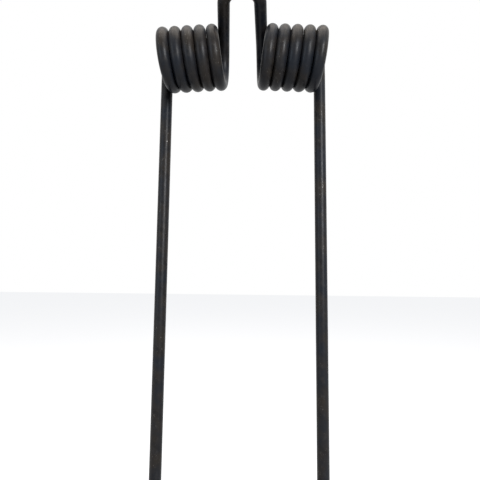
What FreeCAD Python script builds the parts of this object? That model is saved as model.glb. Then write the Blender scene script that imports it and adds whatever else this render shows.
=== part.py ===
"""Cultivator spring tine: one round spring-steel wire with two close-wound coils.

From each tip the wire runs straight up a leg, through a slight set bend into a coil of five turns,
wraps a little further over the top of the coil, and leaves it as an arm that leans forward.
A cross bar joins the two arms and makes the bridge that a bolted clamp holds.

Axes: +X across the tine from leg to leg, +Z up with the legs hanging down, -Y the side the arms lean to.
The origin is the middle of the cross bar. The two halves mirror each other in the plane X = 0.
"""
import FreeCAD, Part
import os

os.makedirs("parts", exist_ok=True)
doc = FreeCAD.newDocument("cultivator_spring_tine")

# ---------------------------------------------------------------- driving dimensions (mm, degrees)
DIMENSIONS = [
    ("wire_diameter", "12"),
    ("coil_outer_diameter", "62"),
    ("turn_gap", "0.1"),            # clear gap between neighbouring turns
    ("full_turns", "5"),            # whole turns, back to back, in each coil
    ("arm_wrap_angle", "65"),       # how far the wire wraps past the last whole turn
    ("throat_width", "29.5"),       # clear width between the coils' inner turns, at the back
    ("leg_length", "450"),          # from the level of the coils down to the tips
    ("leg_set_angle", "1.5"),       # small bend that makes the legs parallel
    ("leg_set_radius", "150"),
    ("tip_chamfer", "1"),
    ("arm_length", "40"),           # straight part of each arm
    ("corner_radius", "12"),        # centre line of the bends between the arms and the cross bar
]

sizes = doc.addObject("Spreadsheet::Sheet", "Sizes")
for row, (alias, number) in enumerate(DIMENSIONS, start=1):
    sizes.set("A%d" % row, alias)
    sizes.set("B%d" % row, number)
    sizes.setAlias("B%d" % row, alias)
doc.recompute()

# ---------------------------------------------------------------- what follows from them
# Worked out for the half at -X. The coil's axis is level with Z = 0 and lies over Y = 0 here.
# It tilts by what is left of the winding's lead angle once the leg's set bend is taken off, so
# that leg, coil and arm run into one another without a kink.
RELATIONS = [
    ("wire_radius", "Sizes.wire_diameter / 2"),
    ("coil_radius", "(Sizes.coil_outer_diameter - Sizes.wire_diameter) / 2"),
    ("turn_pitch", "Sizes.wire_diameter + Sizes.turn_gap"),
    ("lead_angle", "atan(turn_pitch / (2 * pi * coil_radius)) / 1 deg"),
    ("coil_tilt", "lead_angle - Sizes.leg_set_angle"),
    ("exit_angle", "360 * Sizes.full_turns + Sizes.arm_wrap_angle"),
    ("wound_length", "turn_pitch * exit_angle / 360"),
    ("inner_x", "-(Sizes.throat_width + Sizes.wire_diameter) / 2"),
    ("outer_x", "inner_x - cos(coil_tilt) * turn_pitch * Sizes.full_turns"),
    ("outer_z", "-sin(coil_tilt) * turn_pitch * Sizes.full_turns"),
    ("leg_x", "outer_x - Sizes.leg_set_radius * (1 - cos(Sizes.leg_set_angle))"),
    ("leg_top", "outer_z - Sizes.leg_set_radius * sin(Sizes.leg_set_angle)"),
    ("exit_x", "outer_x + cos(coil_tilt) * wound_length - sin(coil_tilt) * sin(exit_angle) * coil_radius"),
    ("exit_y", "cos(exit_angle) * coil_radius"),
    ("exit_z", "outer_z + sin(coil_tilt) * wound_length + cos(coil_tilt) * sin(exit_angle) * coil_radius"),
    ("arm_rise", "sin(lead_angle) * sin(coil_tilt) + cos(lead_angle) * cos(coil_tilt) * cos(exit_angle)"),
    ("arm_forward", "cos(lead_angle) * sin(exit_angle)"),
    ("arm_inward", "sin(lead_angle) * cos(coil_tilt) - cos(lead_angle) * sin(coil_tilt) * cos(exit_angle)"),
    ("arm_lean", "atan2(arm_forward; arm_rise) / 1 deg"),
    ("arm_toe_in", "asin(arm_inward) / 1 deg"),
    ("corner_x", "exit_x + Sizes.corner_radius * cos(arm_toe_in) + Sizes.arm_length * sin(arm_toe_in)"),
    ("reach", "Sizes.corner_radius * (1 - sin(arm_toe_in)) + Sizes.arm_length * cos(arm_toe_in)"),
    ("bridge_y", "exit_y - reach * sin(arm_lean)"),
    ("bridge_z", "exit_z + reach * cos(arm_lean)"),
]

derived = doc.addObject("Spreadsheet::Sheet", "Derived")
for row, (alias, formula) in enumerate(RELATIONS, start=1):
    derived.set("A%d" % row, alias)
    derived.set("B%d" % row, "=" + formula)
    derived.setAlias("B%d" % row, alias)
    doc.recompute()


# ---------------------------------------------------------------- helpers
def bind(item, **expressions):
    """Tie properties of a document object to expressions of the two sheets."""
    for name, expression in expressions.items():
        item.setExpression(name, expression)


def place(item, *steps):
    """Place an object by turns and shifts, the outermost first."""
    item.setExpression("Placement", " * ".join(steps))


def shift(x, y, z):
    return "placement(vector(%s; %s; %s); rotation(vector(0; 0; 1); 0))" % (x, y, z)


def turn(x, y, z, angle):
    return "placement(vector(0; 0; 0); rotation(vector(%d; %d; %d); %s))" % (x, y, z, angle)


# ---------------------------------------------------------------- leg, at -X
tip = doc.addObject("Part::Cone", "Tip")
bind(tip, Radius1="Derived.wire_radius - Sizes.tip_chamfer", Radius2="Derived.wire_radius")
bind(tip, Height="Sizes.tip_chamfer")
place(tip, shift("Derived.leg_x", "Derived.coil_radius", "-Sizes.leg_length"))

leg = doc.addObject("Part::Cylinder", "Leg")
bind(leg, Radius="Derived.wire_radius")
bind(leg, Height="Sizes.leg_length - Sizes.tip_chamfer + Derived.leg_top")
place(leg, shift("Derived.leg_x", "Derived.coil_radius", "Sizes.tip_chamfer - Sizes.leg_length"))

set_bend = doc.addObject("Part::Torus", "SetBend")
bind(set_bend, Radius1="Sizes.leg_set_radius", Radius2="Derived.wire_radius", Angle3="Sizes.leg_set_angle")
place(
    set_bend,
    shift("Derived.leg_x + Sizes.leg_set_radius", "Derived.coil_radius", "Derived.leg_top"),
    turn(0, 0, 1, 180),
    turn(1, 0, 0, 90),
)

# ---------------------------------------------------------------- coil, at -X
coil_frame = (
    shift("Derived.outer_x", 0, "Derived.outer_z"),
    turn(0, 0, 1, 90),
    turn(1, 0, 0, "90 - Derived.coil_tilt"),
)
coil_path = doc.addObject("Part::Helix", "CoilPath")
bind(coil_path, Pitch="Derived.turn_pitch", Height="Derived.wound_length", Radius="Derived.coil_radius")
place(coil_path, *coil_frame)

coil_section = doc.addObject("Part::Circle", "CoilSection")
bind(coil_section, Radius="Derived.wire_radius")
place(
    coil_section,
    *coil_frame,
    shift("Derived.coil_radius", 0, 0),
    turn(1, 0, 0, "Derived.lead_angle - 90"),
)
doc.recompute()

coil = doc.addObject("Part::Sweep", "Coil")
coil.Sections = [coil_section]
coil.Spine = (coil_path, ["Edge%d" % (n + 1) for n in range(len(coil_path.Shape.Edges))])
coil.Solid = True
coil.Frenet = True

# ---------------------------------------------------------------- bridge, half at -X
# Drawn flat in the bridge's own plane: x across, y along the arms, the cross bar on the x axis.
arm = doc.addObject("Part::Cylinder", "Arm")
bind(arm, Radius="Derived.wire_radius", Height="Sizes.arm_length")
place(
    arm,
    shift("Derived.exit_x", "-Derived.reach", 0),
    turn(0, 0, 1, "-Derived.arm_toe_in"),
    turn(1, 0, 0, -90),
)

corner = doc.addObject("Part::Torus", "Corner")
bind(corner, Radius1="Sizes.corner_radius", Radius2="Derived.wire_radius", Angle3="90 - Derived.arm_toe_in")
place(
    corner,
    shift("Derived.corner_x", "-Sizes.corner_radius", 0),
    turn(0, 0, 1, 90),
)

cross_bar = doc.addObject("Part::Cylinder", "CrossBar")
bind(cross_bar, Radius="Derived.wire_radius", Height="-Derived.corner_x")
place(
    cross_bar,
    shift("Derived.corner_x", 0, 0),
    turn(0, 1, 0, 90),
)

bridge = doc.addObject("Part::MultiFuse", "Bridge")
bridge.Shapes = [arm, corner, cross_bar]
place(
    bridge,
    shift(0, "Derived.bridge_y", "Derived.bridge_z"),
    turn(1, 0, 0, "90 + Derived.arm_lean"),
)

# ---------------------------------------------------------------- the whole wire
half = doc.addObject("Part::MultiFuse", "HalfTine")
half.Shapes = [tip, leg, set_bend, coil, bridge]

other_half = doc.addObject("Part::Mirroring", "OtherHalf")
other_half.Source = half
other_half.Normal = (1, 0, 0)

tine = doc.addObject("Part::MultiFuse", "Tine")
tine.Label = "spring_tine"
tine.Shapes = [half, other_half]
tine.Refine = True
place(tine, shift(0, "-Derived.bridge_y", "-Derived.bridge_z"))
doc.recompute()

# ---------------------------------------------------------------- check and write
for item in doc.Objects:
    if "Invalid" in item.State or "Error" in item.State:
        raise RuntimeError("%s failed: %s" % (item.Name, item.State))

for piece in (tine,):
    if piece.Shape.isNull() or not piece.Shape.isValid() or len(piece.Shape.Solids) != 1:
        raise RuntimeError("%s isn't one valid solid" % piece.Label)
    piece.Shape.exportStep("parts/%s.step" % piece.Label)
    box = piece.Shape.BoundBox
    print(piece.Label, "faces", len(piece.Shape.Faces), "volume", round(piece.Shape.Volume))
    print("x %.2f %.2f  y %.2f %.2f  z %.2f %.2f" % (box.XMin, box.XMax, box.YMin, box.YMax, box.ZMin, box.ZMax))
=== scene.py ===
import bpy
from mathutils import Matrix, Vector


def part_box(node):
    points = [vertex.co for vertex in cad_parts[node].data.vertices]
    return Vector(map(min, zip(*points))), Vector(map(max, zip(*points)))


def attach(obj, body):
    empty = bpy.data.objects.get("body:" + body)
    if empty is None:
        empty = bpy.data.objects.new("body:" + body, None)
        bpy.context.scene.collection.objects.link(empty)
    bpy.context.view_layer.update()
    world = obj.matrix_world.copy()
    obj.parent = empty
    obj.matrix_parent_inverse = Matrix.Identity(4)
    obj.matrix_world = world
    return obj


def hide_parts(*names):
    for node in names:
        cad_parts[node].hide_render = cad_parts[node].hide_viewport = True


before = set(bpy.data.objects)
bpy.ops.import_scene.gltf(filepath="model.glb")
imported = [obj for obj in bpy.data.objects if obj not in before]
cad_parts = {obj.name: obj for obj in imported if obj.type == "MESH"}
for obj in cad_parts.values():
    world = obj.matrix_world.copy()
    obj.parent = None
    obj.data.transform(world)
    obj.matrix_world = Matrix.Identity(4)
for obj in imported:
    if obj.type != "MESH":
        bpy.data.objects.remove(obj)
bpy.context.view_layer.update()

import math

import bpy
from mathutils import Vector

# A cultivator spring tine: one bent and coiled wire of dark, oiled spring steel. Everything is in
# metres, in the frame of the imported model: +X from leg to leg, +Z up, the bridge leaning towards -Y.
NODE = "spring_tine"
TIP_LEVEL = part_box(NODE)[0][2]

# ---------------------------------------------------------------- the wire's driving sizes
WIRE = 0.012
COIL_OUTER = 0.062
TURN_GAP = 0.0001
FULL_TURNS = 5
ARM_WRAP = math.radians(65)
THROAT = 0.0295
LEG_SET = math.radians(1.5)
LEG_SET_RADIUS = 0.150
ARM = 0.040
CORNER = 0.012
TIP_CHAMFER = 0.001

COIL_STEP = math.radians(3.0)      # how finely each kind of stretch is divided
BEND_STEP = math.radians(5.0)
STRAIGHT_STEP = 0.004
ROUND = 44                         # sides of the wire's section
SHARP = math.radians(30)           # only the tips' chamfers have edges sharper than this
STRAIGHTENER_PITCH = 0.030         # how far apart the straightening rolls left their faint spiral

X, Y, Z = Vector((1, 0, 0)), Vector((0, 1, 0)), Vector((0, 0, 1))


# ---------------------------------------------------------------- the wire's centre line
def line(start, end):
    """Points after start along a straight stretch."""
    count = max(1, round((end - start).length / STRAIGHT_STEP))
    return [start.lerp(end, n / count) for n in range(1, count + 1)]


def arc(centre, first, second, radius, angle):
    """Points after the start of an arc that turns from the first direction towards the second."""
    count = max(2, round(angle / BEND_STEP))
    turns = [angle * n / count for n in range(1, count + 1)]
    return [centre + radius * (math.cos(t) * first + math.sin(t) * second) for t in turns]


def half_wire():
    """The centre line of the half at -X, from the tip to the middle of the cross bar.

    It is worked out with the coils' axis at the origin's level, then moved so that the middle of
    the cross bar is the origin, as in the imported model.
    """
    radius = (COIL_OUTER - WIRE) / 2
    pitch = WIRE + TURN_GAP
    lead = math.atan(pitch / (2 * math.pi * radius))
    tilt = lead - LEG_SET
    along = math.cos(tilt) * X + math.sin(tilt) * Z
    over = math.cos(tilt) * Z - math.sin(tilt) * X
    wound = 2 * math.pi * FULL_TURNS + ARM_WRAP
    outer = -(THROAT + WIRE) / 2 * X - pitch * FULL_TURNS * along

    def coil_point(angle):
        swing = math.cos(angle) * Y + math.sin(angle) * over
        return outer + pitch * angle / (2 * math.pi) * along + radius * swing

    exit_point = coil_point(wound)
    swing = math.cos(wound) * over - math.sin(wound) * Y
    arm_way = (math.cos(lead) * swing + math.sin(lead) * along).normalized()
    arm_end = exit_point + ARM * arm_way
    inward = (X - arm_way * X.dot(arm_way)).normalized()
    corner_centre = arm_end + CORNER * inward
    corner_angle = math.acos(X.dot(arm_way))

    coil_start = coil_point(0)
    set_centre = coil_start + LEG_SET_RADIUS * (math.cos(LEG_SET) * X - math.sin(LEG_SET) * Z)
    leg_top = set_centre - LEG_SET_RADIUS * X
    bridge = corner_centre + CORNER * arm_way
    origin = Vector((0, bridge.y, bridge.z))
    tip = Vector((leg_top.x, leg_top.y, TIP_LEVEL + origin.z))

    points = [tip, tip + TIP_CHAMFER * Z]
    points += line(points[-1], leg_top)
    points += arc(set_centre, -X, Z, LEG_SET_RADIUS, LEG_SET)
    count = round(wound / COIL_STEP)
    points += [coil_point(wound * n / count) for n in range(1, count + 1)]
    points += line(exit_point, arm_end)
    points += arc(corner_centre, -inward, arm_way, CORNER, corner_angle)
    points += line(points[-1], origin)
    return [point - origin for point in points]


def whole_wire():
    """Both halves in one run, from the left tip to the right tip."""
    left = half_wire()
    right = [Vector((-point.x, point.y, point.z)) for point in reversed(left[:-1])]
    return left + right


def path_object(points):
    """The centre line as a curve; its radius is 1 but for the chamfered tips."""
    curve = bpy.data.curves.new("wire_path", "CURVE")
    curve.dimensions = "3D"
    spline = curve.splines.new("POLY")
    spline.points.add(len(points) - 1)
    for knot, point in zip(spline.points, points):
        knot.co = (*point, 1)
        knot.radius = 1
    for knot in (spline.points[0], spline.points[-1]):
        knot.radius = 1 - 2 * TIP_CHAMFER / WIRE
    path = bpy.data.objects.new("wire_path", curve)
    bpy.context.collection.objects.link(path)
    return path


# ---------------------------------------------------------------- node trees
class Tree:
    """A node tree with one way to add a node: its type, its settings, and its sockets' values or links."""

    def __init__(self, tree):
        self.tree = tree

    def node(self, kind, inputs=None, **settings):
        made = self.tree.nodes.new(kind)
        for name, value in settings.items():
            setattr(made, name, value)
        for name, value in (inputs or {}).items():
            self.feed(made.inputs[name], value)
        return made

    def feed(self, socket, value):
        if isinstance(value, Term):
            value = value.socket
        if isinstance(value, bpy.types.NodeSocket):
            self.tree.links.new(value, socket)
        else:
            socket.default_value = value


class Term:
    """A number on a node's socket, so that shader maths reads as arithmetic."""

    def __init__(self, sheet, socket):
        self.sheet, self.socket = sheet, socket

    def math(self, operation, *values):
        made = self.sheet.node("ShaderNodeMath", operation=operation)
        for socket, value in zip(made.inputs, values):
            self.sheet.feed(socket, value)
        return Term(self.sheet, made.outputs[0])

    def __add__(self, other):
        return self.math("ADD", self, other)

    def __sub__(self, other):
        return self.math("SUBTRACT", self, other)

    def __rsub__(self, other):
        return self.math("SUBTRACT", other, self)

    def __mul__(self, other):
        return self.math("MULTIPLY", self, other)

    __radd__, __rmul__ = __add__, __mul__

    def sine(self):
        return self.math("SINE", self)

    def cosine(self):
        return self.math("COSINE", self)

    def largest(self, other):
        return self.math("MAXIMUM", self, other)


# ---------------------------------------------------------------- the wire, drawn along its path
def drawn_wire_tree(material):
    """Draws a round wire along a curve, and keeps where each point lies round and along the wire."""
    group = bpy.data.node_groups.new("drawn_wire", "GeometryNodeTree")
    group.interface.new_socket("Path", in_out="INPUT", socket_type="NodeSocketGeometry")
    group.interface.new_socket("Wire Diameter", in_out="INPUT", socket_type="NodeSocketFloat")
    group.interface.new_socket("Sides", in_out="INPUT", socket_type="NodeSocketInt")
    group.interface.new_socket("Wire", in_out="OUTPUT", socket_type="NodeSocketGeometry")
    tree = Tree(group)
    given = tree.node("NodeGroupInput").outputs
    parameter = tree.node("GeometryNodeSplineParameter").outputs

    # the section, marked with how far round each point is
    radius = tree.node("ShaderNodeMath", {0: given["Wire Diameter"], 1: 0.5}, operation="MULTIPLY")
    ring = tree.node(
        "GeometryNodeCurvePrimitiveCircle",
        {"Resolution": given["Sides"], "Radius": radius.outputs[0]},
    )
    turned = tree.node("ShaderNodeMath", {0: parameter["Factor"], 1: 2 * math.pi}, operation="MULTIPLY")
    cosine = tree.node("ShaderNodeMath", {0: turned.outputs[0]}, operation="COSINE")
    sine = tree.node("ShaderNodeMath", {0: turned.outputs[0]}, operation="SINE")
    round_wire = tree.node("ShaderNodeCombineXYZ", {"X": cosine.outputs[0], "Y": sine.outputs[0]})
    marked_ring = tree.node(
        "GeometryNodeStoreNamedAttribute",
        {"Geometry": ring.outputs["Curve"], "Name": "round", "Value": round_wire.outputs[0]},
        data_type="FLOAT_VECTOR",
    )

    # the path, marked with how far along each point is
    along_wire = tree.node("ShaderNodeCombineXYZ", {"Z": parameter["Length"]})
    marked_path = tree.node(
        "GeometryNodeStoreNamedAttribute",
        {"Geometry": given["Path"], "Name": "along", "Value": along_wire.outputs[0]},
        data_type="FLOAT_VECTOR",
    )
    scale = tree.node("GeometryNodeInputNamedAttribute", {"Name": "radius"}, data_type="FLOAT")
    wire = tree.node(
        "GeometryNodeCurveToMesh",
        {
            "Curve": marked_path.outputs["Geometry"],
            "Profile Curve": marked_ring.outputs["Geometry"],
            "Scale": scale.outputs["Attribute"],
            "Fill Caps": True,
        },
    )

    # both marks in one attribute, which the steel reads
    around = tree.node("GeometryNodeInputNamedAttribute", {"Name": "round"}, data_type="FLOAT_VECTOR")
    length = tree.node("GeometryNodeInputNamedAttribute", {"Name": "along"}, data_type="FLOAT_VECTOR")
    place = tree.node(
        "ShaderNodeVectorMath",
        {0: around.outputs["Attribute"], 1: length.outputs["Attribute"]},
        operation="ADD",
    )
    marked = tree.node(
        "GeometryNodeStoreNamedAttribute",
        {"Geometry": wire.outputs["Mesh"], "Name": "on_wire", "Value": place.outputs[0]},
        data_type="FLOAT_VECTOR",
    )
    real = tree.node("GeometryNodeRealizeInstances", {"Geometry": marked.outputs["Geometry"]})
    finished = tree.node(
        "GeometryNodeSetMaterial",
        {"Geometry": real.outputs["Geometry"], "Material": material},
    )
    tree.node("NodeGroupOutput", {"Wire": finished.outputs["Geometry"]})
    return group


def drawn_wire(name, path, material):
    """Runs the tree on the path and keeps its result as a plain mesh."""
    group = drawn_wire_tree(material)
    modifier = path.modifiers.new("drawn_wire", "NODES")
    modifier.node_group = group
    sockets = {item.name: item.identifier for item in group.interface.items_tree}
    modifier[sockets["Wire Diameter"]] = WIRE
    modifier[sockets["Sides"]] = ROUND
    graph = bpy.context.evaluated_depsgraph_get()
    mesh = bpy.data.meshes.new_from_object(path.evaluated_get(graph))
    mesh.name = name
    piece = bpy.data.objects.new(name, mesh)
    bpy.context.collection.objects.link(piece)
    path.modifiers.remove(modifier)
    bpy.data.objects.remove(path)
    for face in mesh.polygons:
        face.use_smooth = True
    mesh.set_sharp_from_angle(angle=SHARP)
    return piece


# ---------------------------------------------------------------- materials
class Finish(Tree):
    """What a finish is mixed from: noise, ranges and blends of colour."""

    def noise(self, vector, scale, detail=5, roughness=0.55):
        made = self.node(
            "ShaderNodeTexNoise",
            {"Vector": vector, "Scale": scale, "Detail": detail, "Roughness": roughness},
        )
        return Term(self, made.outputs["Fac"])

    def between(self, value, low, high):
        """0 below low, 1 above high, and a smooth step between."""
        made = self.node(
            "ShaderNodeMapRange",
            {"Value": value, "From Min": low, "From Max": high},
            interpolation_type="SMOOTHSTEP",
        )
        return Term(self, made.outputs["Result"])

    def stretch(self, vector, scale):
        made = self.node("ShaderNodeMapping", {"Vector": vector, "Scale": scale}, vector_type="POINT")
        return made.outputs["Vector"]

    def blend(self, amount, first, second):
        made = self.node("ShaderNodeMix", data_type="RGBA")
        self.feed(made.inputs[0], amount)
        self.feed(made.inputs[6], first)
        self.feed(made.inputs[7], second)
        return made.outputs[2]

    def parts(self, vector):
        made = self.node("ShaderNodeSeparateXYZ", {"Vector": vector})
        return [Term(self, socket) for socket in made.outputs]


def blank(owner):
    """The emptied node tree of a material or a world, ready for a finish."""
    owner.use_nodes = True
    owner.node_tree.nodes.clear()
    return Finish(owner.node_tree)


def oxide_steel():
    """Spring steel with a dark, lightly oiled oxide skin: mottled, streaked, rubbed bright in specks."""
    material = bpy.data.materials.new("oxide_steel")
    sheet = blank(material)
    place = sheet.node("ShaderNodeTexCoord").outputs["Object"]
    on_wire = sheet.node("ShaderNodeAttribute", attribute_name="on_wire").outputs["Vector"]

    slate = (0.0085, 0.0105, 0.0145, 1)
    umber = (0.019, 0.0155, 0.0125, 1)
    ash = (0.036, 0.034, 0.032, 1)
    soot = (0.005, 0.005, 0.006, 1)
    bare = (0.34, 0.33, 0.31, 1)

    # clouds a few centimetres wide, a finer mottle, grain, and streaks drawn out along the wire
    clouds = sheet.noise(place, 38)
    mottle = sheet.noise(place, 210, roughness=0.62)
    grain = sheet.noise(place, 900, detail=4, roughness=0.6)
    streaks = sheet.noise(sheet.stretch(on_wire, (9, 9, 26)), 1.0, roughness=0.6)

    # the straightening rolls' mark winds round the wire, and comes and goes with the clouds
    across, beside, along = sheet.parts(on_wire)
    wind = along * (2 * math.pi / STRAIGHTENER_PITCH)
    spiral = across * wind.cosine() - beside * wind.sine()
    marks = sheet.between(spiral, 0.72, 0.98) * sheet.between(clouds, 0.35, 0.60)
    rubbed = sheet.between(grain, 0.64, 0.72) * sheet.between(clouds, 0.48, 0.60)

    colour = sheet.blend(sheet.between(clouds, 0.36, 0.66), slate, umber)
    colour = sheet.blend(sheet.between(mottle, 0.50, 0.80) * 0.5, colour, ash)
    colour = sheet.blend(sheet.between(streaks, 0.55, 0.78) * 0.45, colour, soot)
    colour = sheet.blend(marks * 0.55, colour, soot)
    colour = sheet.blend(rubbed * 0.7, colour, bare)
    roughness = 0.33 + sheet.between(mottle, 0.3, 0.8) * 0.14 - rubbed * 0.12
    height = mottle * 0.5 + grain * 0.22 - streaks * 0.35 - marks * 0.3
    bump = sheet.node("ShaderNodeBump", {"Height": height, "Strength": 0.32, "Distance": 0.0004})
    shader = sheet.node(
        "ShaderNodeBsdfPrincipled",
        {
            "Base Color": colour,
            "Roughness": roughness,
            "Metallic": rubbed * 0.9,
            "Specular IOR Level": 0.13,
            "Normal": bump.outputs["Normal"],
        },
    )
    sheet.node("ShaderNodeOutputMaterial", {"Surface": shader.outputs["BSDF"]})
    return material


def seen_directly(sheet):
    """1 for the rays that show a background: straight to the lens, or by way of gloss or glass."""
    rays = sheet.node("ShaderNodeLightPath").outputs
    shown = Term(sheet, rays["Is Camera Ray"]).largest(Term(sheet, rays["Is Glossy Ray"]))
    return shown.largest(Term(sheet, rays["Is Transmission Ray"]))


def studio_floor():
    """White paper that keeps the shadow of what stands over it."""
    material = bpy.data.materials.new("studio_floor")
    sheet = blank(material)
    plain = sheet.node("ShaderNodeBsdfDiffuse", {"Color": (0.18, 0.18, 0.19, 1)})
    paper = sheet.node("ShaderNodeBsdfDiffuse", {"Color": (0.40, 0.40, 0.40, 1)})
    glow = sheet.node("ShaderNodeEmission", {"Color": (1, 1, 1, 1), "Strength": 0.82})
    white = sheet.node("ShaderNodeAddShader", {0: paper.outputs[0], 1: glow.outputs[0]})
    mixed = sheet.node(
        "ShaderNodeMixShader",
        {0: seen_directly(sheet), 1: plain.outputs[0], 2: white.outputs[0]},
    )
    sheet.node("ShaderNodeOutputMaterial", {"Surface": mixed.outputs[0]})
    return material


def studio_world():
    """A dim, slightly cool surround that looks white."""
    world = bpy.data.worlds.new("studio_world")
    sheet = blank(world)
    shade = sheet.node("ShaderNodeBackground", {"Color": (0.20, 0.22, 0.26, 1), "Strength": 1.0})
    white = sheet.node("ShaderNodeBackground", {"Color": (1, 1, 1, 1), "Strength": 1.0})
    mixed = sheet.node(
        "ShaderNodeMixShader",
        {0: seen_directly(sheet), 1: shade.outputs[0], 2: white.outputs[0]},
    )
    sheet.node("ShaderNodeOutputWorld", {"Surface": mixed.outputs[0]})
    return world


# ---------------------------------------------------------------- studio
FLOOR_DROP = 0.002
FLOOR_SIZE = 12.0
LIT_POINT = (0, 0.03, -0.12)
WARM, NEUTRAL, COOL = (1.0, 0.90, 0.80), (0.97, 0.98, 1.0), (0.72, 0.85, 1.0)


def floor():
    bpy.ops.mesh.primitive_plane_add(size=FLOOR_SIZE, location=(0, 0, TIP_LEVEL - FLOOR_DROP))
    paper = bpy.context.active_object
    paper.name = "studio_floor"
    paper.data.materials.append(studio_floor())


def softbox(name, place, width, height, power, colour):
    """A soft lamp that faces the tine."""
    lamp = bpy.data.lights.new(name, "AREA")
    lamp.shape = "RECTANGLE"
    lamp.size, lamp.size_y = width, height
    lamp.energy = power
    lamp.color = colour
    box = bpy.data.objects.new(name, lamp)
    box.location = place
    box.rotation_euler = (Vector(LIT_POINT) - Vector(place)).to_track_quat("-Z", "Y").to_euler()
    bpy.context.collection.objects.link(box)


def lamps():
    """A key from the front right, a warm ceiling and a weak cool lamp from the left."""
    softbox("key", (0.62, -0.95, 0.12), 0.24, 0.50, 17.0, NEUTRAL)
    softbox("ceiling", (0.0, -0.15, 1.0), 1.3, 1.0, 11.0, WARM)
    softbox("cool_fill", (-1.0, -0.75, 0.0), 0.6, 0.9, 5.0, COOL)


def camera():
    """Low in front of the tine and close to it, looking slightly up past the coils."""
    lens = bpy.data.cameras.new("studio_camera")
    lens.sensor_width = 36
    lens.lens = 29.64
    lens.clip_start = 0.01
    view = bpy.data.objects.new("studio_camera", lens)
    view.location = (0.01265, -0.34156, -0.26734)
    view.rotation_euler = [math.radians(angle) for angle in (95.803, -0.610, 1.903)]
    bpy.context.collection.objects.link(view)
    bpy.context.scene.camera = view


# ---------------------------------------------------------------- build
bpy.context.scene.view_settings.view_transform = "Standard"
bpy.context.scene.world = studio_world()
floor()
lamps()
camera()

tine = drawn_wire("spring_tine_wire", path_object(whole_wire()), oxide_steel())
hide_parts(NODE)
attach(tine, "root")
